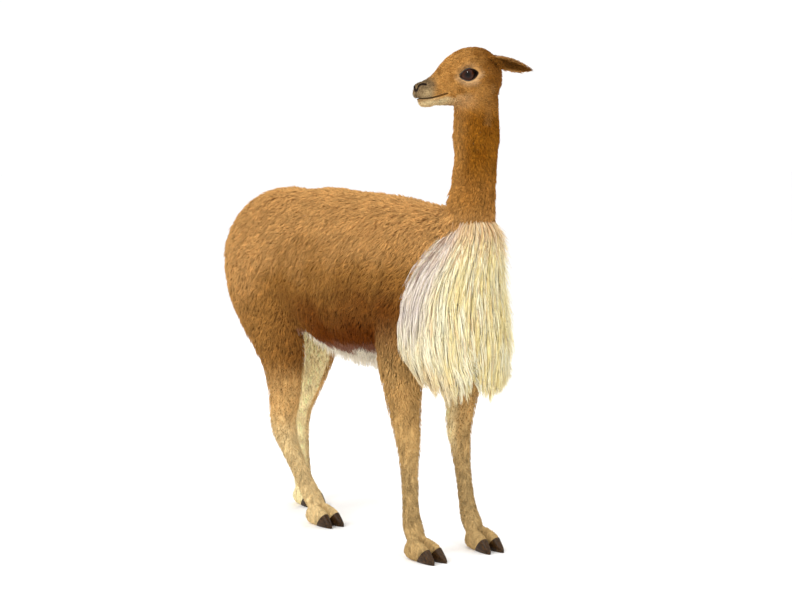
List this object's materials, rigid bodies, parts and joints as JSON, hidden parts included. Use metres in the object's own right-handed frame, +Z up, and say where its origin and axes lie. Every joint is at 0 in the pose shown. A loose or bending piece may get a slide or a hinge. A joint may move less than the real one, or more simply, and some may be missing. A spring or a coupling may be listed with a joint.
{
  "type": "vicuna",
  "caption": "Life-size standing vicuna as a still museum model, head turned over its right shoulder, with a long pale chest bib, laid-back ears and padded feet.",
  "frame": {"origin": "on the ground, at the centre of the animal's bounding box in plan", "axes": "+X the way the body faces, +Y the animal's left, +Z up; the head is turned towards -Y"},
  "size_m": [1.2222, 0.3408, 1.227],
  "materials": {
    "body_coat": "short dense tan wool, soft and matt, darker on the lower flank",
    "neck_coat": "short reddish-brown coat, matt",
    "leg_coat": "short pale tan coat, matt, cream on the inner side",
    "pale_coat": "long silky cream hair in locks",
    "skin": "bare dark skin of lids, nostrils and lips, slightly moist",
    "eye": "wet gloss, near-black brown",
    "nail": "dark horn with fine growth lines"
  },
  "bodies": {
    "root": {"head": "neck_coat", "ear_left": "neck_coat", "ear_right": "neck_coat", "eye_left": "eye", "eye_right": "eye", "neck": "neck_coat", "torso": "body_coat", "chest_bib": "pale_coat", "tail": "body_coat", "leg_fore_right": "leg_coat", "leg_fore_left": "leg_coat", "leg_hind_right": "leg_coat", "leg_hind_left": "leg_coat", "toe_fore_right_inner": "leg_coat", "toe_fore_right_outer": "leg_coat", "toe_fore_left_inner": "leg_coat", "toe_fore_left_outer": "leg_coat", "toe_hind_right_inner": "leg_coat", "toe_hind_right_outer": "leg_coat", "toe_hind_left_inner": "leg_coat", "toe_hind_left_outer": "leg_coat", "nail_fore_right_inner": "nail", "nail_fore_right_outer": "nail", "nail_fore_left_inner": "nail", "nail_fore_left_outer": "nail", "nail_hind_right_inner": "nail", "nail_hind_right_outer": "nail", "nail_hind_left_inner": "nail", "nail_hind_left_outer": "nail"}
  },
  "joints": []
}
